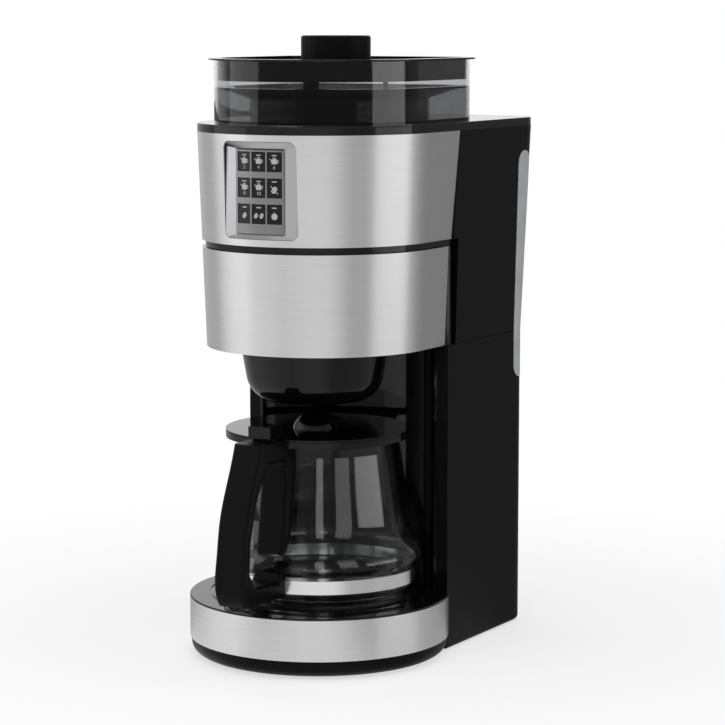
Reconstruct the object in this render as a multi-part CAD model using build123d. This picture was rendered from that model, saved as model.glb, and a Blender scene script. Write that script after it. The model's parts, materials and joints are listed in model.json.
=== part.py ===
from build123d import *
import os
from math import cos, degrees, pi, radians, sin, sqrt

# Grind and brew coffee maker. Millimetres, +Z up, -Y is the front that the user faces.
# Pieces are built round the brew axis (x = 0, y = 0) and moved once, at the end, so that the
# origin lies on the floor under the middle of the whole machine.

# Shared clearances
seam = 0.3
pin_gap = 0.05
overrun = 5.0

# Heights, stacked from the floor
foot_height = 1.0
pan_height = 12.0
base_band_height = 28.6
deck_lip_height = 1.3
bay_height = 177.6
door_height = 70.3
gap_height = 4.7
upper_band_height = 75.6
plate_height = 5.8
hopper_height = 43.0
lid_rim_height = 1.3
lid_dish_depth = 2.1
knob_height = 17.3

pan_z = foot_height
band_z = pan_z + pan_height
deck_z = band_z + base_band_height + deck_lip_height
head_z = deck_z + bay_height
gap_z = head_z + door_height
upper_z = gap_z + gap_height
plate_z = upper_z + upper_band_height
plate_top = plate_z + plate_height
hopper_top = plate_top + hopper_height
lid_z = hopper_top + seam
lid_top = lid_z + lid_rim_height
dish_z = lid_top - lid_dish_depth
knob_z = dish_z + seam

# Housing in plan
base_radius = 92.5
base_forward = 2.5
tower_inset = 10.0
tower_half = base_radius - tower_inset
tower_front = 36.4
rear_reach = 175.0
rear_lean = 8.4
tower_back = rear_reach - rear_lean
rear_corner = 22.0
top_inset = 6.3
side_half_top = base_radius - top_inset
band_inset_low = 2.1
band_radius_low = tower_half - band_inset_low
wall = 2.6
steel = 1.0
band_end_low = 40.0
band_end_top = 46.0
recess_inset = 2.3
recess_radius = tower_half - recess_inset
recess_wall = 2.0
floor_height = 3.5
post_radius = 4.6

# Base
foot_radius = 9.0
foot_inset = 22.0
pan_inset = 1.0
pan_round = 8.5
rear_round = 3.0
cover_height = 3.0
cover_inset = 10.5
deck_thickness = 3.0
deck_ring_inset = 12.5
deck_ring_radius = base_radius - deck_ring_inset
deck_ring_width = 1.4
deck_ring_depth = 0.6
hot_plate_inset = 26.5
plate_radius = base_radius - hot_plate_inset
deck_hole_inset = 8.0
deck_hole_radius = plate_radius - deck_hole_inset
plate_rise = 2.1
plate_flange = 1.2
heater_inset = 22.0
heater_radius = plate_radius - heater_inset
heater_tube = 4.0
heater_gap_angle = 60.0
screw_radius = 2.0
screw_head_radius = 3.6
screw_head_height = 1.6
screw_length = 9.0
base_screw_inset = 30.5
base_screw_x = base_radius - base_screw_inset
base_screw_front_inset = 50.5
base_screw_front = base_radius - base_screw_front_inset
base_screw_back_inset = 54.6
base_screw_rear = tower_back - base_screw_back_inset
boss_height = 30.0

# Rear of the tower
rear_cover_inset = 26.5
rear_cover_half = tower_half - rear_cover_inset
rear_cover_low = 22.0
rear_cover_drop = 54.5
rear_cover_high = head_z - rear_cover_drop
rear_cover_wall = 2.0
vent_count = 6
vent_half = 30.0
vent_height = 2.4
vent_pitch = 7.0
gland_z = 34.0
gland_radius = 7.0
gland_neck = 5.0
gland_bore = 3.4
gland_length = 5.0

# Water tank, its windows and its lid
tank_front = 100.0
tank_side_gap = 6.5
tank_half = tower_half - tank_side_gap
tank_drop = 44.5
tank_floor_z = head_z - tank_drop
tank_inset = 5.4
tank_wall = 2.0
tank_top_gap = 1.5
shelf_height = 4.0
window_inset = 26.0
window_y = rear_reach - window_inset
window_width = 19.0
window_drop = 35.0
window_low = head_z - window_drop
window_top_gap = 18.1
window_high = plate_z - window_top_gap
window_proud = 0.3
window_depth = 1.4
window_gap = 0.1
tank_lid_inset = 8.0
tank_lid_half = tank_half - tank_lid_inset
tank_pin_inset = 9.0
tank_pin_y = rear_reach - tank_pin_inset
tank_lid_share = 19.0 / 66.0
tank_lid_front = tank_front + (tank_pin_y - tank_front) * tank_lid_share
tank_lid_height = 2.6
tank_mouth_corner = 2.5
tank_mouth_inset = 6.0
hinge_pin_radius = 0.8
hinge_pin_hold = 3.5

# Hopper
hopper_inset = 9.2
hopper_radius = side_half_top - hopper_inset
hopper_forward = 5.0
hopper_tank_gap = 3.0
hopper_back = tank_front - hopper_tank_gap
hopper_corner = 25.0
hopper_wall = 2.2
lid_overhang = 4.0
lid_skirt_drop = 14.0
funnel_ledge_drop = 18.4
funnel_fall = 8.5
funnel_well_radius = 52.0
funnel_well_corner = 14.0
funnel_ledge_width = 3.2
funnel_wall = 1.6

# Grinder
knob_y = 21.5
knob_radius = 24.6
knob_wall = 2.4
knob_flutes = 48
knob_flute_radius = 0.7
knob_edge = 1.6
fork_shaft_radius = 4.0
fork_height = 3.0
fork_drop = 4.0
fork_arm_half = 3.0
prong_radius = 35.0
prong_depth = 3.4
prong_half = 4.9
prong_angles = (30.0, 150.0, 270.0)
collar_outer = 30.0
collar_rise = 17.0
chamber_wall = 2.5
carrier_radius = 25.0
carrier_wall = 3.2
carrier_height = 11.0
carrier_flange_radius = 38.0
carrier_flange_height = 2.4
burr_radius = 22.0
burr_bore = 15.0
burr_height = 11.0
cone_radius = 13.2
cone_tip_radius = 6.5
spindle_radius = 3.0
hub_radius = 7.0
hub_height = 3.0
gear_teeth = 48
pinion_teeth = 12
gear_module = 1.5
gear_width = 6.0
gear_lift = 34.0
gear_backlash = 0.35
tooth_width_share = 0.40
motor_radius = 19.0
motor_edge = 1.5
motor_boss_radius = 7.0
motor_boss_height = 2.0
motor_shaft_radius = 2.0
motor_shaft_depth = 8.0
chute_width = 22.0
chute_depth = 13.0
chute_gap = 2.0
chute_wall = 1.6
leg_radius = 3.6
leg_angles = (30.0, 150.0)

# Door, basket and shower
pin_radius = 2.0
pin_inset = 3.4
pin_x = band_radius_low - pin_inset
pin_y = 40.0
knuckle_radius = 5.0
door_wall = 3.0
door_ring_height = 4.0
basket_y = -8.0
basket_inset = 27.8
basket_rim = band_radius_low - basket_inset
basket_taper = 5.8
basket_foot = basket_rim - basket_taper
basket_bottom_drop = 40.2
basket_side_drop = 31.5
basket_dome_rise = 2.6
basket_dome_inset = 11.0
basket_corner = 20.0
basket_wall = 2.2
basket_flange_width = 2.2
basket_flange = basket_rim + basket_flange_width
basket_flange_height = 2.4
basket_cup_rise = 42.0
bridge_half = 4.0
bridge_height = 1.6
bridge_rise = 11.0
filter_gap = 1.2
filter_wall = 0.9
filter_corner = 6.0
valve_radius = 4.0
valve_head_radius = 7.0
valve_head_height = 2.0
valve_nozzle_drop = 2.0
spring_wire = 0.8
spring_turns = 4
shower_y = 12.0
shower_radius = 22.0
shower_height = 6.0
shower_wall = 1.8
shower_hole_radius = 1.1
shower_ring_radius = 15.0
shower_holes = 10
inlet_x = 12.0
tube_radius = 3.0
tube_bore = 2.0
tube_inset = 32.5
tube_x = tower_half - tube_inset
tube_tank_gap = 22.0
tube_y = tank_front - tube_tank_gap
tube_bend = 8.0
tube_rise = 17.5
tube_run = 17.6

# Control panel
panel_half = 28.7
panel_rise = 5.0
panel_top_gap = 4.8
panel_height = upper_band_height - panel_rise - panel_top_gap
panel_corner = 5.0
panel_depth = 5.2
window_half_angle = 13.8
window_top_inset = 5.1
window_bottom_inset = 3.2
key_face_inset = 10.5
key_face_radius = base_radius - key_face_inset
key_depth = 2.6
key_columns = 3
key_rows = 3
key_rows_inset = 12.7
key_row_pitch = (panel_height - key_rows_inset) / key_rows
key_row_gap = 4.3
key_height = key_row_pitch - key_row_gap
key_column_angle = 8.5
key_gap = 0.3
key_bar = 1.2
key_top_inset = 1.5
bezel_proud = 0.4
board_thickness = 1.6
board_inset = 3.0

# Carafe
handle_overhang = 31.0
handle_reach = base_radius + handle_overhang
axis_y = (handle_reach - rear_reach) / 2
glass_wall = 2.0
carafe_gap = 10.2
hoop_radius = recess_radius - carafe_gap
foot_taper = 8.0
glass_foot_radius = hoop_radius - foot_taper
over_carafe = 66.9
glass_height = bay_height - over_carafe
neck_taper = 16.0
neck_radius = hoop_radius - neck_taper
neck_height = 9.0
hoop_lift = 9.0
hoop_height = 9.4
hoop_wall = 0.8
hoop_seat = 2.0
collar_y = -4.0
collar_inset = 4.5
collar_radius = hoop_radius - collar_inset
collar_wall = 2.0
collar_height = 4.2
collar_drop = 2.8
collar_lip = 3.0
collar_bore = neck_radius - collar_lip
carafe_lid_height = 1.3
lid_plug_height = 3.0
lid_plug_gap = 2.0
boss_y = -8.0
boss_radius = 16.0
boss_rise = 12.6
lever_half = 8.7
lever_reach = 13.0
lever_front = hoop_radius + lever_reach
lever_gap = 2.0
lever_height = 8.5
lever_top_length = 17.0
lever_foot_length = 31.0
lid_pin_reach = 5.0
lid_pin_y = -hoop_radius - lid_pin_reach
lid_pin_drop = 2.7
lid_pin_radius = 1.3
lid_barrel_radius = 2.6
handle_half = 11.75
handle_lift = 7.7
handle_edge = 2.5

# Control points of the glass's side from the hoop to the neck, as shares of its inward and upward reach
glass_low_shares = ((0.0, 0.0), (-0.85, 0.12), (0.41, 0.225), (0.57, 0.43))
glass_high_shares = ((0.57, 0.43), (0.716, 0.62), (0.90, 0.83), (1.0, 1.0))
# Handle seen from its side, as shares of its reach from the hoop and of its height
handle_back_shares = (
    (0.51, 1.0), (0.66, 0.81), (0.87, 0.55), (0.96, 0.30), (1.0, 0.14), (0.97, 0.06), (0.90, 0.0),
)
finger_back_shares = ((0.34, 0.87), (0.61, 0.67), (0.77, 0.40), (0.80, 0.21), (0.65, 0.115))
finger_front_shares = ((0.11, 0.095), (0.03, 0.16), (-0.045, 0.43), (-0.12, 0.68), (-0.10, 0.86))
finger_corner = 4.0
finger_edge = 3.0

glass_z = deck_z + plate_rise + seam
handle_foot = glass_z + handle_lift
glass_top = glass_z + glass_height
hoop_z = glass_z + hoop_lift
collar_top = glass_top + collar_height
handle_top = collar_top + carafe_lid_height


# Shared shapes
def between(z, low, high):
    """Size at height z of what leans from low at the head's foot to high at the top plate."""
    return low + (high - low) * (z - head_z) / (plate_z - head_z)


def band_radius(z):
    return between(z, band_radius_low, side_half_top)


def side_half(z):
    return between(max(z, head_z), tower_half, side_half_top)


def back_at(z):
    return between(max(z, head_z), tower_back, rear_reach)


def d_face(radius, back, corner, forward=0.0):
    """Half-round front, straight sides and a rear with rounded corners."""
    depth = back - forward
    face = Pos(0, forward) * Circle(radius) + Pos(0, forward + depth / 2) * Rectangle(2 * radius, depth)
    return fillet(face.vertices().sort_by(Axis.Y)[-2:], corner)


def skin(low, high, inset=0.0, half=side_half):
    """Solid inside the leaning outer surface, drawn in by inset."""
    faces = []
    for z in (low, high):
        faces.append(Pos(0, 0, z) * d_face(half(z) - inset, back_at(z) - inset, rear_corner - inset))
    return loft(faces, ruled=True)


def block(x0, x1, y0, y1, z0, z1):
    """Box between two corners."""
    return Pos((x0 + x1) / 2, (y0 + y1) / 2, (z0 + z1) / 2) * Box(x1 - x0, y1 - y0, z1 - z0)


def rounded_block(x0, x1, y0, y1, z0, z1, corner):
    """Box whose upright edges are rounded."""
    face = Pos((x0 + x1) / 2, (y0 + y1) / 2, z0) * RectangleRounded(x1 - x0, y1 - y0, corner)
    return extrude(face, amount=z1 - z0)


def rod(radius, low, high, x=0.0, y=0.0):
    return Pos(x, y, (low + high) / 2) * Cylinder(radius, high - low)


def tube(outer, inner, low, high, x=0.0, y=0.0):
    return rod(outer, low, high, x, y) - rod(inner, low - overrun, high + overrun, x, y)


def cross_rod(radius, half, y, z):
    """Cylinder that lies across the machine."""
    return Pos(0, y, z) * Rot(0, 90, 0) * Cylinder(radius, 2 * half)


def long_rod(radius, y0, y1, x, z):
    """Cylinder that lies front to back."""
    return Pos(x, (y0 + y1) / 2, z) * Rot(90, 0, 0) * Cylinder(radius, y1 - y0)


def behind(y, low, high):
    """Everything behind y, between two heights."""
    return block(-2 * base_radius, 2 * base_radius, y, 2 * rear_reach, low, high)


def ahead(y, low, high):
    return block(-2 * base_radius, 2 * base_radius, -2 * rear_reach, y, low, high)


def spun(points, rounds=()):
    """Solid of revolution from (radius, height) points; rounds lists (point, fillet radius)."""
    face = make_face(Polyline(points, close=True))
    for point, radius in rounds:
        corner = face.vertices().sort_by_distance(Vector(point[0], point[1], 0))[0]
        face = fillet(corner, radius)
    return revolve(Plane.XZ * face, Axis.Z)


def sector(inner, outer, angle0, angle1, low, high):
    """Piece of a ring between two angles measured from the front, positive to the right."""
    half = radians(angle1 - angle0) / 2
    reach = 2 * outer
    corners = [(0, 0), (-reach * sin(half), -reach * cos(half)), (reach * sin(half), -reach * cos(half))]
    face = make_face(Polyline(corners, close=True)) & (Circle(outer) - Circle(inner))
    return Rot(0, 0, (angle0 + angle1) / 2) * extrude(Pos(0, 0, low) * face, amount=high - low)


def front_zone(low, high, gap=0.0):
    """Everything in front of the leaning line where the steel band ends."""
    faces = []
    for z in (low, high):
        y = band_end_low + (band_end_top - band_end_low) * (z - gap_z) / (plate_z - gap_z) + gap
        reach = 2 * base_radius
        faces.append(Pos(0, (y - reach) / 2, z) * Rectangle(2 * reach, y + reach))
    return loft(faces, ruled=True)


# Base
def base_disc(radius, low, high):
    return Pos(0, -base_forward, 0) * rod(radius, low, high)


def tower_box(low, high, inset=0.0):
    """Solid inside the tower's walls, with rounded rear corners."""
    return skin(low, high, inset) & behind(tower_front + inset, low, high)


def make_feet():
    front = (base_radius - foot_inset) * sin(radians(45))
    rear_x, rear_y = tower_half - foot_inset, tower_back - foot_inset
    places = [(-front, -front), (front, -front), (-rear_x, rear_y), (rear_x, rear_y)]
    return Compound([rod(foot_radius, 0, foot_height, x, y) for x, y in places])


def base_screw_places():
    return [(side * base_screw_x, y) for side in (-1, 1) for y in (-base_screw_front, base_screw_rear)]


def base_screw_seat():
    return pan_z + screw_head_height


def make_bottom_cover():
    body = base_disc(base_radius - cover_inset, pan_z, pan_z + cover_height)
    body += tower_box(pan_z, pan_z + cover_height, cover_inset)
    for x, y in base_screw_places():
        body -= rod(screw_radius + pin_gap, 0, band_z, x, y)
        body -= rod(screw_head_radius + pin_gap, 0, base_screw_seat(), x, y)
    return body


def make_base_pan():
    dish = base_disc(base_radius - pan_inset, pan_z, band_z)
    dish = fillet(dish.edges().filter_by(GeomType.CIRCLE).sort_by(Axis.Z)[0], pan_round)
    rear = tower_box(pan_z, band_z)
    rear = fillet(rear.faces().sort_by(Axis.Z)[0].edges(), rear_round)
    inset = pan_round + wall
    cavity = base_disc(base_radius - inset, pan_z + cover_height, band_z + overrun)
    cavity += tower_box(pan_z + cover_height, band_z + overrun, inset)
    hatch = base_disc(base_radius - cover_inset + pin_gap, 0, pan_z + cover_height)
    hatch += tower_box(pan_z - overrun, pan_z + cover_height, cover_inset - pin_gap)
    return dish + rear - cavity - hatch


def make_base_band():
    high = band_z + base_band_height
    ring = base_disc(base_radius, band_z, high)
    ring -= base_disc(base_radius - steel, band_z - overrun, high + overrun)
    return ring - behind(tower_front, 0, head_z)


def make_base_deck():
    inner = base_radius - steel
    top = base_disc(base_radius, deck_z - deck_lip_height, deck_z)
    top = fillet(top.edges().filter_by(GeomType.CIRCLE).sort_by(Axis.Z)[-1], deck_lip_height / 2)
    body = top + base_disc(inner, band_z, deck_z - deck_lip_height)
    body -= base_disc(inner - wall, band_z - overrun, deck_z - deck_thickness)
    for x, y in base_screw_places():
        if y < 0:
            body += rod(post_radius, pan_z + cover_height, deck_z - deck_thickness / 2, x, y)
            body -= rod(screw_radius, 0, band_z, x, y)
    body -= behind(tower_front, 0, head_z)
    body -= rod(plate_radius + seam, deck_z - plate_flange, deck_z + overrun)
    body -= rod(deck_hole_radius, band_z, deck_z + overrun)
    inner = deck_ring_radius - deck_ring_width
    return body - tube(deck_ring_radius, inner, deck_z - deck_ring_depth, deck_z + overrun)


def make_warming_plate():
    low, top = deck_z - plate_flange, deck_z + plate_rise
    lip, inner = plate_flange, deck_hole_radius - seam
    crown = plate_radius - plate_rise
    points = [(0, low - lip), (inner, low - lip), (inner, low), (plate_radius, low), (plate_radius, low + lip),
              (crown, top), (crown - lip, top), (crown - 2 * lip, top - lip / 2), (0, top - lip / 2)]
    return spun(points)


def heater_level():
    return deck_z - 2 * plate_flange - heater_tube


def make_heater_element():
    section = Plane.XZ * Pos(heater_radius, heater_level()) * Circle(heater_tube)
    ring = revolve(section, Axis.Z, revolution_arc=360 - heater_gap_angle)
    return Rot(0, 0, 90 + heater_gap_angle / 2) * ring


# Tower
def window_slot(gap=0.0):
    """Bar across the machine whose outline is the pill shape of the water windows."""
    width = window_width + 2 * gap
    height = window_high - window_low + 2 * gap
    middle = (window_low + window_high) / 2
    pill = Plane.YZ * Pos(window_y, middle) * SlotOverall(height, width, rotation=90)
    return extrude(pill, amount=2 * side_half_top, both=True)


def rear_screw_places():
    lift = 2 * post_radius
    half = rear_cover_half - post_radius
    return [(side * half, z) for side in (-1, 1) for z in (rear_cover_low + lift, rear_cover_high - lift)]


def make_column_shell():
    top = head_z - seam
    body = tower_box(band_z, top) - tower_box(band_z - overrun, top + overrun, wall)
    mouth = sqrt((recess_radius + recess_wall) ** 2 - tower_front ** 2)
    body -= block(-mouth, mouth, 0, tower_front + 2 * wall, band_z - overrun, top + overrun)
    body += tower_box(tank_floor_z - shelf_height, tank_floor_z, wall / 2) & behind(tank_front, 0, head_z)
    half = rear_cover_half + seam
    low, high = rear_cover_low - seam, rear_cover_high + seam
    body -= block(-half, half, tower_back - 2 * wall, rear_reach, low, high)
    back = tower_back - rear_cover_wall
    for x, z in rear_screw_places():
        side = x / abs(x)
        x0, x1 = sorted((x - side * post_radius, x + side * 2 * post_radius))
        body += block(x0, x1, back - screw_length, back, z - post_radius, z + post_radius)
        body -= long_rod(screw_radius, back - screw_length - overrun, rear_reach, x, z)
    for x, y in base_screw_places():
        if y > 0:
            body += rod(post_radius, pan_z + cover_height, band_z + boss_height, x, y)
            x0, x1 = sorted((x, x / abs(x) * (tower_half - wall / 2)))
            body += block(x0, x1, y - post_radius / 2, y + post_radius / 2, band_z, band_z + boss_height)
            body -= rod(screw_radius, 0, band_z, x, y)
    body -= rod(knuckle_radius + pin_gap, top - floor_height, head_z + overrun, pin_x, pin_y)
    return body - window_slot(window_gap)


def make_recess_panel():
    outer = recess_radius + recess_wall
    top = head_z - floor_height - pin_gap
    low = deck_z - deck_thickness
    body = tube(outer, recess_radius, low, top) + rod(outer, low, deck_z)
    body &= behind(tower_front, 0, head_z)
    body -= rod(plate_radius + seam, deck_z - plate_flange, deck_z + overrun)
    return body - rod(deck_hole_radius, band_z, deck_z + overrun)


def make_rear_cover():
    front = tower_back - rear_cover_wall
    body = block(-rear_cover_half, rear_cover_half, front, tower_back, rear_cover_low, rear_cover_high)
    middle = (rear_cover_low + rear_cover_high) / 2
    for k in range(vent_count):
        z = middle + (k - (vent_count - 1) / 2) * vent_pitch
        low, high = z - vent_height / 2, z + vent_height / 2
        body -= block(-vent_half, vent_half, front - overrun, rear_reach, low, high)
    for x, z in rear_screw_places():
        body -= long_rod(screw_radius + pin_gap, front - overrun, rear_reach, x, z)
    return body - long_rod(gland_neck + pin_gap, front - overrun, rear_reach, 0, gland_z)


def make_cord_gland():
    front = tower_back - rear_cover_wall
    body = long_rod(gland_neck, front, tower_back, 0, gland_z)
    body += long_rod(gland_radius, tower_back, tower_back + gland_length, 0, gland_z)
    return body - long_rod(gland_bore, front - overrun, rear_reach, 0, gland_z)


# Head
def partition_y():
    """Front face of the wall behind the brewing space, clear of the door's knuckle."""
    return pin_y + knuckle_radius + door_wall - seam


def make_head_floor():
    low, top = head_z - floor_height, head_z - seam
    body = tower_box(low, top, wall + seam) - behind(tank_front - seam, 0, plate_top)
    body -= rod(recess_radius, 0, plate_top) & ahead(partition_y(), 0, plate_top)
    lug = rod(knuckle_radius, low, top, pin_x, pin_y) & tower_box(low, top, wall / 2)
    body += lug - rod(recess_radius, 0, plate_top)
    body -= rod(tube_radius + seam, 0, plate_top, tube_x, tube_y)
    return body - rod(pin_radius, 0, plate_top, pin_x, pin_y)


def make_head_shell():
    y = partition_y()
    body = skin(head_z, plate_z) - skin(head_z - overrun, plate_z + overrun, wall)
    body -= front_zone(upper_z, plate_z + overrun, seam)
    body -= ahead(y, head_z - overrun, upper_z)
    left = skin(head_z, gap_z) - skin(head_z - overrun, gap_z + overrun, wall)
    body += left & block(-base_radius, 0, pin_y + seam, y + wall, head_z, gap_z)
    body += skin(head_z, gap_z, wall / 2) & block(-base_radius, base_radius, y, y + wall, head_z, gap_z)
    return body - window_slot(window_gap)


def panel_z():
    return upper_z + panel_rise


def panel_prism(gap=0.0):
    """Rounded rectangle pushed through the front of the upper band."""
    outline = RectangleRounded(2 * (panel_half + gap), panel_height + 2 * gap, panel_corner + gap)
    return extrude(Plane.XZ * Pos(0, panel_z() + panel_height / 2) * outline, amount=2 * base_radius)


def make_upper_band():
    body = skin(upper_z, plate_z, 0, band_radius)
    body -= skin(upper_z - overrun, plate_z + overrun, steel, band_radius)
    return (body & front_zone(upper_z, plate_z)) - panel_prism(seam)


def make_band_carrier():
    body = skin(upper_z, plate_z, steel, band_radius)
    body -= skin(upper_z - overrun, plate_z + overrun, steel + wall, band_radius)
    body = (body & front_zone(upper_z, plate_z)) - panel_prism(seam)
    shelf = skin(gap_z, upper_z, steel + wall / 2, band_radius)
    body += shelf & ahead(tank_front - seam, gap_z, upper_z)
    body -= rod(pin_radius, 0, plate_top, pin_x, pin_y)
    body -= rod(spindle_radius + pin_gap, gap_z + gap_height / 2, plate_top, 0, knob_y)
    body -= rod(tube_radius + seam, 0, plate_top, tube_x, tube_y)
    body -= rod(tube_radius + seam, 0, plate_top, inlet_x, shower_y)
    y, half = chute_back(), chute_width / 2 + seam
    return body - block(-half, half, y - chute_depth - seam, y + seam, 0, plate_top)


def make_top_plate():
    body = extrude(Pos(0, 0, plate_z) * d_face(side_half_top, rear_reach, rear_corner), amount=plate_height)
    body = fillet(body.faces().sort_by(Axis.Z)[-1].edges(), deck_lip_height / 2)
    body -= rod(collar_outer + seam, 0, lid_top, 0, knob_y)
    half, inset = tank_lid_half + seam, tank_mouth_inset
    back = tank_pin_y + tank_lid_height / 2 + seam
    low = plate_top - tank_lid_height - seam
    body -= rounded_block(-half, half, tank_lid_front - seam, back, low, lid_top, seam)
    half, front, back = half - inset, tank_lid_front + inset, tank_pin_y - inset
    body -= rounded_block(-half, half, front, back, 0, lid_top, tank_mouth_corner)
    half = tank_lid_half + seam
    return body - cross_rod(hinge_pin_radius, half + hinge_pin_hold, tank_pin_y, tank_pin_z())


def tank_pin_z():
    return plate_top - tank_lid_height / 2


def make_tank_lid():
    low, drop = plate_top - tank_lid_height, tank_lid_height / 2
    slab = block(-tank_lid_half, tank_lid_half, tank_lid_front, tank_pin_y, low, plate_top)
    slab = slab + cross_rod(tank_lid_height / 2, tank_lid_half, tank_pin_y, tank_pin_z())
    inset = tank_mouth_inset + 2 * seam
    half, front, back = tank_lid_half - inset, tank_lid_front + inset, tank_pin_y - 2 * inset
    rim = rounded_block(-half, half, front, back, low - drop, low, tank_mouth_corner)
    rim -= block(wall - half, half - wall, front + wall, back - wall, 0, low)
    return slab + rim - cross_rod(hinge_pin_radius + pin_gap, 2 * tank_lid_half, tank_pin_y, tank_pin_z())


def make_tank_lid_pin():
    return cross_rod(hinge_pin_radius, tank_lid_half + seam + hinge_pin_hold, tank_pin_y, tank_pin_z())


def make_water_tank():
    top = plate_z - tank_top_gap
    body = skin(tank_floor_z, top, tank_inset)
    body &= block(-tank_half, tank_half, tank_front, rear_reach, tank_floor_z, top)
    half, front = tank_half - tank_wall, tank_front + tank_wall
    inner = skin(tank_floor_z + tank_wall, top + overrun, tank_inset + tank_wall)
    return body - (inner & block(-half, half, front, rear_reach, tank_floor_z + tank_wall, top + overrun))


def make_tank_windows():
    low, high = window_low - overrun, window_high + overrun
    outer = skin(low, head_z, -window_proud) + skin(head_z, high, -window_proud)
    inner = skin(low - overrun, head_z, window_depth) + skin(head_z, high + overrun, window_depth)
    return Compound(((outer & window_slot()) - inner).solids())


# Hopper
def hopper_prism(offset, low, high):
    """Upright solid in the hopper's plan, widened by offset."""
    face = d_face(hopper_radius + offset, hopper_back + offset, hopper_corner + offset, hopper_forward)
    return extrude(Pos(0, 0, low) * face, amount=high - low)


def make_hopper():
    body = hopper_prism(0, plate_top, hopper_top)
    body -= hopper_prism(-hopper_wall, plate_top + hopper_wall, hopper_top + overrun)
    return body - rod(collar_outer + seam, 0, lid_top, 0, knob_y)


def make_hopper_funnel():
    top = hopper_top - funnel_ledge_drop
    low, floor = top - funnel_fall, plate_top + hopper_wall
    edge = hopper_wall + pin_gap
    ledge = edge + funnel_ledge_width

    def plan(inset, corner, z):
        return Pos(0, 0, z) * d_face(hopper_radius - inset, hopper_back - inset, corner, hopper_forward)

    well = hopper_radius - funnel_well_radius
    rim = plan(ledge - funnel_wall, hopper_corner - ledge, top)
    slope = loft([rim, plan(well, funnel_well_corner, low)], ruled=True)
    body = slope - Pos(0, 0, funnel_wall) * slope
    body += hopper_prism(-edge, top - funnel_wall, top) - hopper_prism(-ledge, floor, lid_top)
    body += extrude(plan(well, funnel_well_corner, floor), amount=low + funnel_wall - floor)
    inner = plan(well + funnel_wall, funnel_well_corner - funnel_wall, floor - overrun)
    return body - extrude(inner, amount=hopper_height)


def make_hopper_lid():
    inset, floor_z = hopper_wall + seam, dish_z - lid_rim_height
    rim = hopper_prism(lid_overhang, lid_z, lid_top)
    rim = fillet(rim.faces().sort_by(Axis.Z)[-1].edges(), lid_rim_height / 3)
    body = rim + hopper_prism(-inset, lid_z - lid_skirt_drop, lid_z)
    body -= hopper_prism(-inset - hopper_wall, lid_z - lid_skirt_drop - overrun, floor_z)
    body -= hopper_prism(-inset - hopper_wall, dish_z, lid_top + overrun)
    return body - rod(fork_shaft_radius + pin_gap, 0, lid_top + overrun, 0, knob_y)


# Grinder, built round the knob's own axis
def at_knob(shape):
    return Pos(0, knob_y, 0) * shape


def make_grind_knob():
    top = knob_z + knob_height
    body = rod(knob_radius, knob_z, top)
    body = fillet(body.edges().filter_by(GeomType.CIRCLE).sort_by(Axis.Z)[-1], knob_edge)
    body -= rod(knob_radius - knob_wall, knob_z - overrun, top - knob_wall)
    flute = rod(knob_flute_radius, knob_z - overrun, top + overrun, knob_radius + knob_flute_radius / 2)
    body -= [Rot(0, 0, 360 * k / knob_flutes) * flute for k in range(knob_flutes)]
    body += rod(fork_shaft_radius + knob_wall, knob_z, top - knob_wall / 2)
    return at_knob(body - rod(fork_shaft_radius, knob_z - overrun, top - knob_wall))


def carrier_flange_z():
    return plate_top + collar_rise + seam


def make_knob_fork():
    high = dish_z - lid_rim_height - fork_drop
    low = high - fork_height
    body = rod(fork_shaft_radius, low, knob_z + knob_height - knob_wall)
    body += rod(2 * fork_shaft_radius, low, high)
    outer = prong_radius + prong_depth / 2
    for angle in prong_angles:
        arm = block(0, outer, -fork_arm_half, fork_arm_half, low, high)
        prong = block(outer - prong_depth, outer, -prong_half, prong_half, carrier_flange_z() + seam, high)
        body += Rot(0, 0, angle) * (arm + prong)
    return at_knob(body)


def carrier_low():
    return plate_top + collar_rise - carrier_height


def make_burr_carrier():
    low = carrier_flange_z()
    inner = carrier_radius - carrier_wall
    body = tube(carrier_radius, inner, carrier_low(), low + carrier_flange_height)
    body += tube(carrier_flange_radius, inner, low, low + carrier_flange_height)
    half, start = prong_half + seam, prong_radius - prong_depth / 2 - seam
    notch = block(start, 2 * carrier_flange_radius, -half, half, low - overrun, lid_top)
    body -= [Rot(0, 0, angle) * notch for angle in prong_angles]
    return at_knob(body)


def make_upper_burr():
    top = carrier_low()
    low = top - burr_height
    return at_knob(spun([(burr_bore, low), (burr_radius, low), (burr_radius, top), (burr_bore, top)]))


def make_lower_burr():
    top = carrier_low() - seam
    low = top - burr_height
    bore = spindle_radius + pin_gap
    skirt = low + burr_height / 4
    points = [(bore, low), (cone_radius, low), (cone_radius, skirt), (cone_tip_radius, top), (bore, top)]
    return at_knob(spun(points))


def gear_face(teeth):
    """Gear with straight-flanked teeth, thinned for running clearance."""
    pitch_radius = teeth * gear_module / 2
    root = pitch_radius - gear_module - gear_backlash
    tip = pitch_radius + gear_module - gear_backlash
    foot = root - gear_module / 2
    wide = pi * gear_module * tooth_width_share * root / pitch_radius / 2
    narrow = wide / 2
    tooth = make_face(Polyline([(foot, -wide), (tip, -narrow), (tip, narrow), (foot, wide)], close=True))
    return Circle(root) + [Rot(0, 0, 360 * k / teeth) * tooth for k in range(teeth)]


def gear_z():
    return upper_z + gear_lift


def gear_reach():
    return (gear_teeth / 2 + 1) * gear_module


def make_burr_gear():
    low = gear_z()
    body = extrude(Pos(0, 0, low) * gear_face(gear_teeth), amount=gear_width)
    body += rod(hub_radius, low - hub_height, low + gear_width + hub_height)
    return at_knob(body + rod(spindle_radius, gap_z + gap_height / 2 + seam, carrier_low() - seam))


def motor_y():
    return knob_y + (gear_teeth + pinion_teeth) * gear_module / 2


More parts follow.
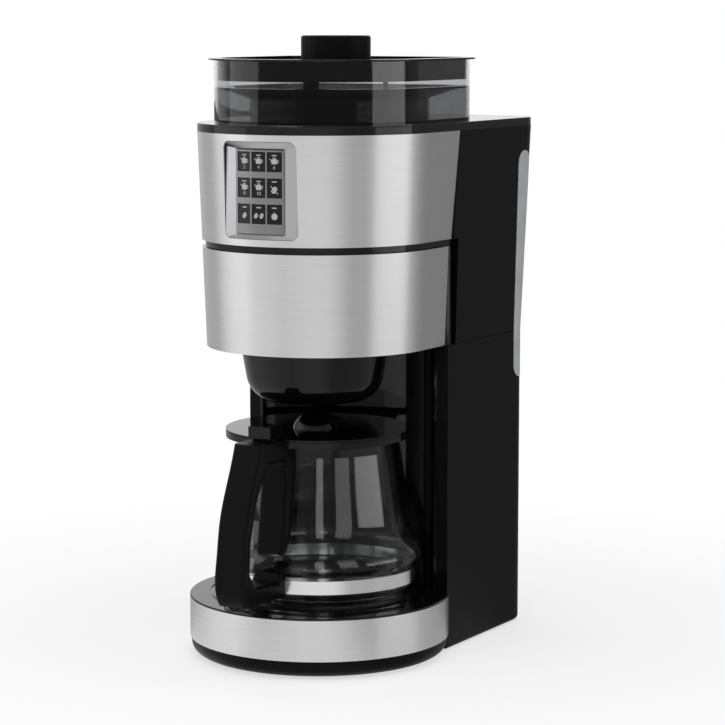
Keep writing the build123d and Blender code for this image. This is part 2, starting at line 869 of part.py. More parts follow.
def make_motor_pinion():
    body = extrude(gear_face(pinion_teeth), amount=gear_width)
    body += rod(motor_shaft_radius, -motor_boss_height - seam - motor_shaft_depth, gear_width)
    return Pos(0, motor_y(), gear_z()) * Rot(0, 0, 90 + 180 / pinion_teeth) * body


def make_grinder_motor():
    top = gear_z() - motor_boss_height - seam
    can = rod(motor_radius, upper_z, top)
    can = fillet(can.edges().filter_by(GeomType.CIRCLE), motor_edge)
    body = can + rod(motor_boss_radius, top - motor_edge, top + motor_boss_height)
    bore_low = top - motor_shaft_depth - seam
    return Pos(0, motor_y(), 0) * (body - rod(motor_shaft_radius + pin_gap, bore_low, lid_top))


def chute_back():
    """Rear face of the upright part of the chute, just ahead of the gear."""
    return knob_y - gear_reach() - chute_gap


def make_grinder_housing():
    inner = carrier_radius + seam
    floor = gear_z() + gear_width + hub_height + seam
    outlet = floor + chamber_wall
    roof = outlet + chute_depth
    back = chute_back() - knob_y
    front, half = back - chute_depth, chute_width / 2
    body = block(-half, half, front, 0, floor, roof + chute_wall)
    body += block(-half, half, front, back, gap_z, roof)
    body -= rod(collar_outer - chamber_wall, 0, lid_top)
    body += rod(collar_outer, floor, plate_top + collar_rise) - rod(inner, outlet, lid_top)
    hollow = half - chute_wall
    body -= block(-hollow, hollow, front + chute_wall, chamber_wall - inner, outlet, roof)
    body -= block(-hollow, hollow, front + chute_wall, back - chute_wall, gap_z - overrun, roof)
    reach = gear_reach() + 2 * leg_radius
    for angle in leg_angles:
        leg = rod(leg_radius, upper_z, outlet, reach)
        leg += block(inner, reach, -leg_radius, leg_radius, floor, outlet)
        body += Rot(0, 0, angle) * leg
    return at_knob(body - rod(spindle_radius + pin_gap, 0, lid_top))


# Door and what brews
def make_door_band():
    top = gap_z - seam
    body = skin(head_z, top, 0, band_radius) - skin(head_z - overrun, top + overrun, steel, band_radius)
    body &= ahead(pin_y, 0, plate_top)
    return body - block(0, 2 * base_radius, pin_y - knuckle_radius + seam, rear_reach, 0, plate_top)


def make_door_shell():
    top, clear = gap_z - seam, pin_y - knuckle_radius
    body = skin(head_z, top, steel, band_radius)
    body -= skin(head_z + door_ring_height, top + overrun, steel + door_wall, band_radius)
    body &= ahead(pin_y, 0, plate_top)
    body -= Pos(0, basket_y, 0) * rod(basket_rim + 2 * seam, 0, plate_top)
    body -= block(pin_x - knuckle_radius, 2 * base_radius, clear, rear_reach, 0, plate_top)
    body += block(pin_x - knuckle_radius, pin_x, clear - door_wall, pin_y, head_z, top)
    body += rod(knuckle_radius, head_z, top, pin_x, pin_y)
    return body - rod(pin_radius + pin_gap, 0, plate_top, pin_x, pin_y)


def make_door_pin():
    return rod(pin_radius, head_z - floor_height, upper_z, pin_x, pin_y)


def basket_seat():
    return head_z + door_ring_height + seam


def basket_low():
    return head_z - basket_bottom_drop


def make_filter_basket():
    seat, low, side, w = basket_seat(), basket_low(), head_z - basket_side_drop, basket_wall
    dome, rim_top, cup_top = low + basket_dome_rise, seat + basket_flange_height, seat + basket_cup_rise
    inset = basket_foot - basket_dome_inset
    corner = (basket_foot, side)
    points = [(0, low), (inset, dome), corner, (basket_rim - seam, head_z), (basket_rim, seat),
              (basket_flange, seat), (basket_flange, rim_top), (basket_rim, rim_top), (basket_rim, cup_top),
              (0, cup_top)]
    outer = spun(points, [(corner, basket_corner)])
    inner_corner = (basket_foot - w, side + w)
    points = [(0, low + w), (inset, dome + w), inner_corner, (basket_rim - seam - w, head_z),
              (basket_rim - w, seat), (basket_rim - w, cup_top + overrun), (0, cup_top + overrun)]
    inner = spun(points, [(inner_corner, basket_corner - w)])
    body = outer + rod(valve_head_radius + w, low - valve_nozzle_drop / 2, low + w) - inner
    bridge = low + w + bridge_rise
    body -= rod(valve_radius + pin_gap, 0, plate_top) + rod(valve_head_radius + seam, low + w, bridge)
    bar = block(-basket_foot, basket_foot, -bridge_half, bridge_half, bridge, bridge + bridge_height)
    body += bar & outer
    return Pos(0, basket_y, 0) * body


def make_mesh_filter():
    inset, t = basket_wall + filter_gap, filter_wall
    floor = basket_low() + basket_wall + bridge_rise + bridge_height + seam
    lip = basket_seat() + basket_cup_rise + seam
    foot, rim = basket_foot - inset - filter_corner, basket_rim - inset - t
    points = [(0, floor), (foot, floor), (rim, head_z), (rim, lip), (basket_rim, lip), (basket_rim, lip + t),
              (rim - t, lip + t), (rim - t, head_z + t), (foot - t, floor + t), (0, floor + t)]
    return Pos(0, basket_y, 0) * spun(points)


def make_drip_valve():
    seat = basket_low() + basket_wall + seam
    body = rod(valve_radius, basket_low() - valve_nozzle_drop, seat)
    return Pos(0, basket_y, 0) * (body + rod(valve_head_radius, seat, seat + valve_head_height))


def make_drip_spring():
    low = basket_low() + basket_wall + seam + valve_head_height
    top = basket_low() + basket_wall + bridge_rise
    pitch = (top - low - spring_wire) / spring_turns
    path = Helix(pitch=pitch, height=pitch * spring_turns, radius=valve_head_radius - 2 * spring_wire)
    coil = sweep(Plane(origin=path @ 0, z_dir=path % 0) * Circle(spring_wire / 2), path=path)
    return Pos(0, basket_y, low + spring_wire / 2) * coil


def make_shower_head():
    low, w = gap_z - shower_height, shower_wall
    body = rod(shower_radius, low, gap_z) - rod(shower_radius - w, low + w, gap_z - w)
    hole = rod(shower_hole_radius, low - overrun, low + 2 * w, shower_ring_radius)
    body -= [Rot(0, 0, 360 * k / shower_holes) * hole for k in range(shower_holes)]
    body += rod(tube_radius, gap_z - w, upper_z + seam, inlet_x)
    return Pos(0, shower_y, 0) * (body - rod(tube_bore, gap_z - 2 * w, plate_top, inlet_x))


def make_hot_water_tube():
    low, high = heater_level(), upper_z + tube_rise
    end = radians(90 - heater_gap_angle / 2)
    start_x, start_y = heater_radius * cos(end), heater_radius * sin(end) + heater_tube + seam
    places = [(start_x, start_y, low), (start_x, start_y + tube_run, low), (tube_x, tube_y, low),
              (tube_x, tube_y, high), (tube_x, shower_y, high), (inlet_x, shower_y, high),
              (inlet_x, shower_y, upper_z + seam)]
    path = FilletPolyline(*places, radius=tube_bend)
    section = Circle(tube_radius) - Circle(tube_bore)
    return sweep(Plane(origin=path @ 0, z_dir=path % 0) * section, path=path)


# Control panel
def window_span():
    return panel_z() + window_bottom_inset, panel_z() + panel_height - window_top_inset


def panel_back():
    """Rear face of the panel frame."""
    return -(key_face_radius * cos(radians(window_half_angle)) - panel_depth)


def make_panel_frame():
    low, high = panel_z(), panel_z() + panel_height
    body = skin(low, high, 0, band_radius) & panel_prism() & ahead(panel_back(), low, high)
    w_low, w_high = window_span()
    half = key_face_radius * sin(radians(window_half_angle))
    edge_y = key_face_radius * cos(radians(window_half_angle))
    r_low, r_high, deep = band_radius(low), band_radius(high), key_face_radius - bezel_proud
    scoop = spun([(0, w_low), (deep, w_low), (r_low, low), (2 * r_low, low), (2 * r_high, high),
                  (r_high, high), (deep, w_high), (0, w_high)])
    side_y = sqrt(r_low ** 2 - panel_half ** 2)
    wide = 2 * panel_half
    fall = (side_y - edge_y) / (panel_half - half) * (wide - half)
    plan = [(-half, -edge_y), (half, -edge_y), (wide, -edge_y - fall), (wide, -wide * 2), (-wide, -wide * 2),
            (-wide, -edge_y - fall)]
    scoop &= extrude(Pos(0, 0, low) * make_face(Polyline(plan, close=True)), amount=high - low)
    return body - scoop - block(-half, half, -2 * base_radius, 0, w_low, w_high)


def key_box(column, row):
    """Angles and heights of the opening for one key."""
    middle = (column - (key_columns - 1) / 2) * key_column_angle
    half = key_column_angle / 2 - degrees(key_bar / 2 / key_face_radius)
    high = window_span()[1] - key_top_inset - row * key_row_pitch
    return middle - half, middle + half, high - key_height, high


def make_key(column, row):
    a0, a1, low, high = key_box(column, row)
    trim = degrees(key_gap / key_face_radius)
    inner = key_face_radius - key_depth
    return sector(inner, key_face_radius, a0 + trim, a1 - trim, low + key_gap, high - key_gap)


def make_key_bezel():
    edge = window_half_angle - degrees(seam / key_face_radius)
    low, high = window_span()
    inner, outer = key_face_radius - key_depth, key_face_radius + bezel_proud
    body = sector(inner, outer, -edge, edge, low + seam, high - seam)
    for column in range(key_columns):
        for row in range(key_rows):
            a0, a1, z0, z1 = key_box(column, row)
            body -= sector(key_face_radius - 2 * key_depth, key_face_radius + key_depth, a0, a1, z0, z1)
    return body


def make_control_board():
    half, y = panel_half - board_inset, panel_back() + seam
    low, high = panel_z() + board_inset, panel_z() + panel_height - board_inset
    return block(-half, half, y, y + board_thickness, low, high)


# Carafe
def glass_solid(inset, top):
    """Body of revolution inside the glass's outer surface, drawn in by inset."""
    belly = hoop_radius - hoop_wall - pin_gap - inset
    foot, low, neck = glass_foot_radius - inset, glass_z + inset, neck_radius - inset
    start, finish = hoop_z + hoop_height + hoop_seat, glass_top - neck_height

    def side(shares):
        return [(belly + (neck - belly) * r, start + (finish - start) * z) for r, z in shares]

    outline = [Line((0, low), (foot, low)), Bezier((foot, low), (belly, low), (belly, hoop_z)),
               Line((belly, hoop_z), (belly, start)), Bezier(side(glass_low_shares)),
               Bezier(side(glass_high_shares)), Polyline((neck, finish), (neck, top), (0, top), (0, low))]
    return revolve(Plane.XZ * make_face(outline), Axis.Z)


def make_carafe_glass():
    return glass_solid(0.0, glass_top) - glass_solid(glass_wall, glass_top + overrun)


def make_carafe_band():
    return tube(hoop_radius, hoop_radius - hoop_wall, hoop_z, hoop_z + hoop_height)


def make_carafe_collar():
    low, inner = glass_top - collar_drop, neck_radius + pin_gap
    body = rod(inner + collar_wall, low, glass_top) + rod(collar_radius, glass_top, collar_top, 0, collar_y)
    body -= rod(inner, low - overrun, glass_top + pin_gap)
    return body - rod(collar_bore, low, handle_top)


def handle_point(share):
    out, up = handle_reach - hoop_radius, handle_top - handle_foot
    return (-hoop_radius - out * share[0], handle_foot + up * share[1])


def side_view(face, half):
    """Plate across the machine from a face drawn in (y, z)."""
    return extrude(Plane.YZ * face, amount=half, both=True)


def make_carafe_handle():
    back = Spline([handle_point(p) for p in handle_back_shares])
    inner = -collar_bore
    rest = Polyline(handle_point(handle_back_shares[-1]), (inner, handle_foot), (inner, handle_top),
                    handle_point(handle_back_shares[0]))
    body = side_view(make_face([back, rest]), handle_half)
    body = fillet(body.edges().filter_by(GeomType.BSPLINE), handle_edge)
    finger = Polyline([handle_point(p) for p in finger_back_shares + finger_front_shares], close=True)
    hole = make_face(finger)
    hole = fillet(hole.vertices(), finger_corner)
    body -= side_view(hole, 2 * handle_half)
    rims = [wire for face in body.faces().filter_by(Axis.X) for wire in face.inner_wires()]
    body = fillet([edge for rim in rims for edge in rim.edges()], finger_edge)
    body -= glass_solid(-seam, glass_top)
    body -= rod(hoop_radius + pin_gap, hoop_z - pin_gap, hoop_z + hoop_height + pin_gap)
    body -= rod(neck_radius + collar_wall + 2 * pin_gap, glass_top - collar_drop - overrun, handle_top)
    body -= rod(collar_radius, glass_top - pin_gap, handle_top, 0, collar_y)
    body -= rod(collar_radius + seam, collar_top, handle_top + overrun, 0, collar_y)
    slot = lid_barrel_radius + lid_pin_radius
    half, z = lever_half + seam, handle_top - lid_pin_drop
    body -= block(-half, half, lid_pin_y - slot, -collar_radius, z - slot, handle_top + overrun)
    return body - cross_rod(lid_pin_radius, handle_half - seam, lid_pin_y, z)


def make_carafe_lid():
    low = collar_top + seam
    top = low + carafe_lid_height
    body = rod(collar_radius, low, top, 0, collar_y)
    plug = collar_bore - lid_plug_gap
    body += tube(plug, plug - lid_plug_gap, low - lid_plug_height, low)
    radius = (boss_radius ** 2 + boss_rise ** 2) / 2 / boss_rise
    dome = Pos(0, boss_y, top + boss_rise - radius) * Sphere(radius)
    body += dome & rod(boss_radius, low, top + radius, 0, boss_y)
    foot = handle_top + lever_gap
    ridge, heel = lever_top_length - lever_front, lever_foot_length - lever_front
    points = [(-lever_front, foot), (-lever_front, foot + lever_height), (ridge, foot + lever_height),
              (heel, top), (heel, low), (-collar_radius, low), (-collar_radius, foot)]
    body += side_view(make_face(Polyline(points, close=True)), lever_half)
    z = handle_top - lid_pin_drop
    front, back = lid_pin_y - lid_barrel_radius, lid_pin_y + lid_barrel_radius
    body += block(-lever_half, lever_half, front, back, z, foot + seam)
    body += cross_rod(lid_barrel_radius, lever_half, lid_pin_y, z)
    return body - cross_rod(lid_pin_radius + pin_gap, 2 * lever_half, lid_pin_y, z)


def make_lid_pin():
    return cross_rod(lid_pin_radius, handle_half - seam, lid_pin_y, handle_top - lid_pin_drop)


def make_screws():
    screw = rod(screw_radius, 0, screw_length) + rod(screw_head_radius, -screw_head_height, 0)
    solids = [Pos(x, y, base_screw_seat()) * screw for x, y in base_screw_places()]
    solids += [Pos(x, tower_back, z) * Rot(90, 0, 0) * screw for x, z in rear_screw_places()]
    return Compound(solids)


def build():
    pieces = {
        "feet": make_feet(),
        "bottom_cover": make_bottom_cover(),
        "base_pan": make_base_pan(),
        "base_band": make_base_band(),
        "base_deck": make_base_deck(),
        "warming_plate": make_warming_plate(),
        "heater_element": make_heater_element(),
        "column_shell": make_column_shell(),
        "recess_panel": make_recess_panel(),
        "rear_cover": make_rear_cover(),
        "cord_gland": make_cord_gland(),
        "head_floor": make_head_floor(),
        "head_shell": make_head_shell(),
        "upper_band": make_upper_band(),
        "band_carrier": make_band_carrier(),
        "top_plate": make_top_plate(),
        "tank_lid": make_tank_lid(),
        "tank_lid_pin": make_tank_lid_pin(),
        "water_tank": make_water_tank(),
        "tank_windows": make_tank_windows(),
        "hopper": make_hopper(),
        "hopper_funnel": make_hopper_funnel(),
        "hopper_lid": make_hopper_lid(),
        "grind_knob": make_grind_knob(),
        "knob_fork": make_knob_fork(),
        "burr_carrier": make_burr_carrier(),
        "upper_burr": make_upper_burr(),
        "lower_burr": make_lower_burr(),
        "burr_gear": make_burr_gear(),
        "motor_pinion": make_motor_pinion(),
        "grinder_motor": make_grinder_motor(),
        "grinder_housing": make_grinder_housing(),
        "door_band": make_door_band(),
        "door_shell": make_door_shell(),
        "door_pin": make_door_pin(),
        "filter_basket": make_filter_basket(),
        "mesh_filter": make_mesh_filter(),
        "drip_valve": make_drip_valve(),
        "drip_spring": make_drip_spring(),
        "shower_head": make_shower_head(),
        "hot_water_tube": make_hot_water_tube(),
        "panel_frame": make_panel_frame(),
        "key_bezel": make_key_bezel(),
        "control_board": make_control_board(),
        "carafe_glass": make_carafe_glass(),
        "carafe_band": make_carafe_band(),
        "carafe_collar": make_carafe_collar(),
        "carafe_handle": make_carafe_handle(),
        "carafe_lid": make_carafe_lid(),
        "lid_pin": make_lid_pin(),
        "screws": make_screws(),
    }
    for row in range(key_rows):
        for column in range(key_columns):
            pieces[f"key_{row + 1}_{column + 1}"] = make_key(column, row)
    return pieces


os.makedirs("parts", exist_ok=True)
for name, piece in build().items():
    export_step(Pos(0, axis_y, 0) * piece, f"parts/{name}.step")
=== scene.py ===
import bpy
import bmesh
import json
from math import atan2, cos, pi, radians, sin
from mathutils import Matrix, Vector

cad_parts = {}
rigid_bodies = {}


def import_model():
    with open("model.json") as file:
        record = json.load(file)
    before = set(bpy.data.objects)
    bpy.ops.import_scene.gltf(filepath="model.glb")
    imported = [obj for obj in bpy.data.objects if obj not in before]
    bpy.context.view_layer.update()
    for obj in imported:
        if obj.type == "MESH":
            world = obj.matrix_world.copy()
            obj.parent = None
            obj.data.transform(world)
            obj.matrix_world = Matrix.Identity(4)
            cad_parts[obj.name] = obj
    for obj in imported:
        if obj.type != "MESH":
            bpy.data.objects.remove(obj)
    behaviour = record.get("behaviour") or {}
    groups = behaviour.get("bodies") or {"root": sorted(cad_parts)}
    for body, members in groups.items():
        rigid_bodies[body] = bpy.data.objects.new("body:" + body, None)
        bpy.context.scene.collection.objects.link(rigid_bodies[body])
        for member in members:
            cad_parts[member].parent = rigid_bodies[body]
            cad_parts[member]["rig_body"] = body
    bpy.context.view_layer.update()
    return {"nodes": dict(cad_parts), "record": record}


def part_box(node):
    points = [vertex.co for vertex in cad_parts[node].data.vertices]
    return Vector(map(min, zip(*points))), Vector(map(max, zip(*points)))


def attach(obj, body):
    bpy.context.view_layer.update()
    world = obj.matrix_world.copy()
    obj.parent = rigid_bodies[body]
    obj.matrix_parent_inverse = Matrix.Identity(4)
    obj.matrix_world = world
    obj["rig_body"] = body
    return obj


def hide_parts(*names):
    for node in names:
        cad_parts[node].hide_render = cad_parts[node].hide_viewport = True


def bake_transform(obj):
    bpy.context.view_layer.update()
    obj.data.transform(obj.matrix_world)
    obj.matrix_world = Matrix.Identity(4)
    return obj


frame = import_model()

# Grind and brew coffee maker. Metres, +Z up, -Y is the front that the user faces.
MM = 0.001
nodes = frame["nodes"]
KEY_ROWS = 3
KEY_COLUMNS = 3


def corners(node):
    low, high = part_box(node)
    return Vector(low), Vector(high)


def middle(node):
    low, high = corners(node)
    return (low + high) / 2


# The axis that the carafe, the base and the steel bands are round about
AXIS_Y = middle("carafe_band").y


def new_object(name, data):
    """A new object in the scene."""
    made = bpy.data.objects.new(name, data)
    bpy.context.scene.collection.objects.link(made)
    return made


def heading(azimuth):
    """Level direction at an azimuth in degrees, from the front to the right."""
    return Vector((sin(radians(azimuth)), -cos(radians(azimuth)), 0))


# Camera, as the photograph was taken
CAMERA_PLACE = Vector((0.9532, -1.63025, 0.4511))
CAMERA_TURN = radians(29.81)
CAMERA_TILT = radians(7.45)
CAMERA_LENS = 131.9
SENSOR = 36.0


def add_camera():
    data = bpy.data.cameras.new("camera")
    data.lens = CAMERA_LENS
    data.sensor_width = SENSOR
    camera = new_object("camera", data)
    camera.location = CAMERA_PLACE
    camera.rotation_euler = (pi / 2 - CAMERA_TILT, 0, CAMERA_TURN)
    bpy.context.scene.camera = camera


# Node helpers
class Nodes:
    """Short calls for building a node tree. A number or a socket may feed an input."""

    def __init__(self, tree):
        self.tree = tree

    def add(self, kind, **values):
        node = self.tree.nodes.new(kind)
        for key, value in values.items():
            setattr(node, key, value)
        return node

    def link(self, source, target):
        if isinstance(source, float):
            target.default_value = source
        else:
            self.tree.links.new(source, target)

    def math(self, operation, first, second):
        node = self.add("ShaderNodeMath", operation=operation)
        self.link(first, node.inputs[0])
        self.link(second, node.inputs[1])
        return node.outputs[0]

    def mix(self, share, low, high):
        node = self.add("ShaderNodeMix")
        for source, name in ((share, "Factor"), (low, "A"), (high, "B")):
            self.link(source, node.inputs[name])
        return node.outputs["Result"]

    def zone(self, value, start, finish, low, high):
        """Goes smoothly from low to high as a value goes from start to finish."""
        node = self.add("ShaderNodeMapRange", interpolation_type="SMOOTHSTEP")
        ends = {"From Min": start, "From Max": finish, "To Min": low, "To Max": high}
        for name, source in ends.items():
            node.inputs[name].default_value = source
        self.link(value, node.inputs["Value"])
        return node.outputs["Result"]

    def toward(self, way, azimuth, inner, outer):
        """1 within inner degrees of an azimuth, 0 beyond outer degrees."""
        node = self.add("ShaderNodeVectorMath", operation="DOT_PRODUCT")
        self.link(way, node.inputs[0])
        node.inputs[1].default_value = heading(azimuth)
        near, far = cos(radians(inner)), cos(radians(outer))
        return self.zone(node.outputs["Value"], far, near, 0.0, 1.0)


class Shader(Nodes):
    """A material with one Principled shader."""

    def __init__(self, name):
        self.material = bpy.data.materials.new(name)
        self.material.use_nodes = True
        super().__init__(self.material.node_tree)
        self.surface = self.tree.nodes["Principled BSDF"]

    def put(self, **values):
        """Sets sockets of the shader by name, with _ for a space."""
        for key, value in values.items():
            self.surface.inputs[key.replace("_", " ")].default_value = value

    def grain(self, scale, detail=4.0, stretch=(1, 1, 1), turn=(0, 0, 0)):
        """Noise in the object's own coordinates; scale is in features per metre."""
        place = self.add("ShaderNodeTexCoord")
        mapping = self.add("ShaderNodeMapping")
        mapping.inputs["Scale"].default_value = stretch
        mapping.inputs["Rotation"].default_value = turn
        noise = self.add("ShaderNodeTexNoise")
        noise.inputs["Scale"].default_value = scale
        noise.inputs["Detail"].default_value = detail
        self.link(place.outputs["Object"], mapping.inputs["Vector"])
        self.link(mapping.outputs["Vector"], noise.inputs["Vector"])
        return noise.outputs["Fac"]

    def spread(self, value, low, high, start=0.3, end=0.7):
        """Maps a texture's value onto low to high."""
        node = self.add("ShaderNodeMapRange")
        node.inputs["From Min"].default_value = start
        node.inputs["From Max"].default_value = end
        node.inputs["To Min"].default_value = low
        node.inputs["To Max"].default_value = high
        self.link(value, node.inputs["Value"])
        return node.outputs["Result"]

    def tint(self, value, dark, light, start=0.3, end=0.7):
        """Colour between dark and light, led by a texture's value."""
        node = self.add("ShaderNodeValToRGB")
        node.color_ramp.elements[0].position = start
        node.color_ramp.elements[0].color = (*dark, 1)
        node.color_ramp.elements[1].position = end
        node.color_ramp.elements[1].color = (*light, 1)
        self.link(value, node.inputs["Fac"])
        self.link(node.outputs["Color"], self.surface.inputs["Base Color"])

    def shade(self, value, tone, share):
        """Colour between a share of a tone and the whole tone, led by a texture's value."""
        self.tint(value, [v * share for v in tone], tone)

    def rough(self, value, low, high):
        """Roughness between low and high, led by a texture's value."""
        self.link(self.spread(value, low, high), self.surface.inputs["Roughness"])

    def bump(self, value, depth, strength):
        """Relief of a depth in metres, led by a texture's value."""
        node = self.add("ShaderNodeBump")
        node.inputs["Distance"].default_value = depth
        node.inputs["Strength"].default_value = strength
        self.link(value, node.inputs["Height"])
        self.link(node.outputs["Normal"], self.surface.inputs["Normal"])


# Materials
def brushed_steel(name, tone, rough=(0.34, 0.38), fine=2200):
    """Steel sheet brushed along level lines round the machine."""
    s = Shader(name)
    s.put(Metallic=1.0, Anisotropic=0.8, Anisotropic_Rotation=0.25)
    lines = s.grain(fine, detail=4.0, stretch=(0.012, 0.012, 1))
    s.tint(lines, [v * 0.94 for v in tone], [min(1.0, v * 1.04) for v in tone])
    s.rough(lines, *rough)
    s.bump(lines, depth=0.00001, strength=0.2)
    tangent = s.add("ShaderNodeTangent", direction_type="RADIAL", axis="Z")
    s.link(tangent.outputs["Tangent"], s.surface.inputs["Tangent"])
    return s.material


def polished_metal(name, tone, rough):
    """Bright metal with a faint haze."""
    s = Shader(name)
    s.put(Metallic=1.0)
    haze = s.grain(90, detail=5.0)
    s.shade(haze, tone, 0.95)
    s.rough(haze, *rough)
    return s.material


def turned_metal(name, tone):
    """Plain plated or ground steel of the inner pieces."""
    s = Shader(name)
    s.put(Metallic=1.0)
    marks = s.grain(900, detail=3.0, stretch=(1, 1, 0.15))
    s.shade(marks, tone, 0.85)
    s.rough(marks, 0.25, 0.42)
    s.bump(marks, depth=0.00003, strength=0.3)
    return s.material


def gloss_plastic(name, tone, rough=(0.04, 0.09), level=0.3):
    """Polished moulding: faint haze, and the slow ripple that injection moulding leaves."""
    s = Shader(name)
    s.put(Specular_IOR_Level=level)
    haze = s.grain(60, detail=6.0)
    ripple = s.grain(14, detail=1.0)
    s.shade(haze, tone, 0.85)
    s.rough(haze, *rough)
    s.bump(ripple, depth=0.0002, strength=0.12)
    return s.material


def satin_plastic(name, tone, rough=(0.32, 0.42), level=0.1, pits=3200):
    """Moulding with the fine spark-eroded texture of a tool."""
    s = Shader(name)
    s.put(Specular_IOR_Level=level)
    texture = s.grain(pits, detail=2.0)
    wear = s.grain(35, detail=5.0)
    s.shade(wear, tone, 0.85)
    s.rough(wear, *rough)
    s.bump(texture, depth=0.00004, strength=0.5)
    return s.material


# Of clear plastic: its refraction, and the depth and scale of its mould's slow ripple
PLASTIC_IOR = 1.46
PLASTIC_RIPPLE = 0.00008
RIPPLE_SCALE = 22


def see_through(s, ior, ripple):
    s.put(IOR=ior, Roughness=0.0, Transmission_Weight=1.0)
    s.bump(s.grain(RIPPLE_SCALE, detail=1.0), depth=ripple, strength=0.3)


def clear_plastic(name, tone, ior=PLASTIC_IOR, ripple=PLASTIC_RIPPLE):
    """Polished clear moulding or glass, with the slow ripple of its mould."""
    s = Shader(name)
    see_through(s, ior, ripple)
    haze = s.grain(45, detail=5.0)
    s.shade(haze, tone, 0.97)
    return s.material


def shade_painted_plastic(name, tone, painted_shade_tone, level, blend=0.0006):
    """Clear moulding whose wall is tinted smoke grey below a level, as painted shade."""
    s = Shader(name)
    see_through(s, PLASTIC_IOR, PLASTIC_RIPPLE)
    place = s.add("ShaderNodeTexCoord")
    split = s.add("ShaderNodeSeparateXYZ")
    s.link(place.outputs["Object"], split.inputs["Vector"])
    # Painted shade: below the level the wall takes the darker tone
    zone = s.spread(split.outputs["Z"], 0.0, 1.0, level - blend, level + blend)
    s.tint(zone, painted_shade_tone, tone, 0.0, 1.0)
    return s.material


def rubber(name, tone):
    """Matt rubber with a fine grain."""
    s = Shader(name)
    s.put(Specular_IOR_Level=0.25)
    speck = s.grain(1800, detail=3.0)
    s.shade(speck, tone, 0.8)
    s.rough(speck, 0.7, 0.85)
    s.bump(speck, depth=0.00006, strength=0.4)
    return s.material


def print_ink(name, tone):
    """Flat print on the keys."""
    s = Shader(name)
    speck = s.grain(4000, detail=2.0)
    s.shade(speck, tone, 0.94)
    s.rough(speck, 0.45, 0.6)
    return s.material


# The look of each of the record's material slots
looks = {
    "steel_band": brushed_steel("steel_band", (0.74, 0.74, 0.745)),
    "satin_black": satin_plastic("satin_black", (0.0035, 0.0035, 0.004)),
    "gloss_black": gloss_plastic("gloss_black", (0.0045, 0.0045, 0.005)),
    "clear_plastic": clear_plastic("clear_plastic", (0.86, 0.865, 0.87)),
    "smoke_plastic": clear_plastic("smoke_plastic", (0.22, 0.225, 0.23)),
    "carafe_glass": clear_plastic("carafe_glass", (0.97, 0.98, 0.98), 1.50, 0.00012),
    "chrome_trim": polished_metal("chrome_trim", (0.82, 0.82, 0.83), (0.12, 0.2)),
    "bezel_grey": brushed_steel("bezel_grey", (0.27, 0.27, 0.275), (0.3, 0.4)),
    "rubber": rubber("rubber", (0.018, 0.018, 0.018)),
    "enamel": satin_plastic("enamel", (0.008, 0.008, 0.009), (0.26, 0.36), 0.35, 2200),
    "heater_metal": turned_metal("heater_metal", (0.62, 0.62, 0.62)),
    "mesh_steel": turned_metal("mesh_steel", (0.6, 0.6, 0.6)),
    "plain_steel": turned_metal("plain_steel", (0.56, 0.56, 0.57)),
    "burr_steel": turned_metal("burr_steel", (0.45, 0.45, 0.47)),
    "gear_nylon": satin_plastic("gear_nylon", (0.72, 0.69, 0.60), (0.4, 0.5), 0.4),
    "tank_plastic": gloss_plastic("tank_plastic", (0.30, 0.30, 0.31), (0.2, 0.3)),
    "window_plastic": gloss_plastic("window_plastic", (0.66, 0.67, 0.68), (0.12, 0.2)),
    "circuit_board": satin_plastic("circuit_board", (0.02, 0.10, 0.05), (0.3, 0.4)),
    "tube_silicone": satin_plastic("tube_silicone", (0.6, 0.6, 0.58), (0.4, 0.5)),
}
ink = print_ink("print_ink", (0.93, 0.935, 0.94))

# Nodes whose look differs from the rest of their slot; the hopper is clear above its funnel's
# rim, and below it has painted shade, a smoke grey tint on its wall
FUNNEL_RIM = corners("hopper_funnel")[1].z
special = {
    "hopper": shade_painted_plastic("hopper_wall_painted_shade", (0.7, 0.705, 0.71), (0.36, 0.365, 0.37), FUNNEL_RIM),
    "panel_frame": polished_metal("panel_frame", (0.5, 0.5, 0.51), (0.2, 0.26)),
}

for entry in frame["record"]["subparts"]:
    mesh = nodes[entry["node"]].data
    mesh.materials.clear()
    mesh.materials.append(special.get(entry["node"], looks[entry["material_slot"]]))


# Added pieces
def add_spring():
    """The drip stop's spring, copied from its node into a fixed mesh that takes the original's
    place.
    """
    coil = new_object("drip_spring_coil", nodes["drip_spring"].data.copy())
    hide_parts("drip_spring")
    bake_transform(coil)


# Height of a numeral as a share of its font's size
NUMERAL_SHARE = 0.7


def flat_mesh(name, outlines, letters):
    """Flat mesh from outlines and short strings of numerals (text, x, y, height), all in mm."""
    bm = bmesh.new()
    for outline in outlines:
        bm.faces.new([bm.verts.new((x * MM, y * MM, 0)) for x, y in outline])
    for text, x, y, height in letters:
        curve = bpy.data.curves.new("letters", type="FONT")
        curve.body = text
        curve.size = height * MM / NUMERAL_SHARE
        curve.align_x = "CENTER"
        carrier = new_object("letters", curve)
        bpy.context.view_layer.update()
        drawn = bpy.data.meshes.new_from_object(carrier)
        drawn.transform(Matrix.Translation((x * MM, y * MM, 0)))
        bm.from_mesh(drawn)
        bpy.data.objects.remove(carrier)
        bpy.data.meshes.remove(drawn)
    bmesh.ops.triangulate(bm, faces=bm.faces[:])
    mesh = bpy.data.meshes.new(name)
    bm.to_mesh(mesh)
    bm.free()
    return mesh


def wrap(mesh, radius, angle, height):
    """Bends a flat mesh round the brew axis, centred at an angle from the front and a height."""
    for vertex in mesh.vertices:
        turn = angle + vertex.co.x / radius
        vertex.co = (radius * sin(turn), AXIS_Y - radius * cos(turn), height + vertex.co.y)


def ring_arc(x, y, inner, outer, start, end, steps):
    """Outline of a part of a ring between two angles in degrees."""
    outline = []
    for radius, first, last in ((outer, start, end), (inner, end, start)):
        for k in range(steps + 1):
            turn = radians(first + (last - first) * k / steps)
            outline.append((x + radius * cos(turn), y + radius * sin(turn)))
    return outline


def turned(points, x, y, turn):
    """Points turned in degrees and moved to a place."""
    c, s = cos(radians(turn)), sin(radians(turn))
    return [(x + u * c - v * s, y + u * s + v * c) for u, v in points]


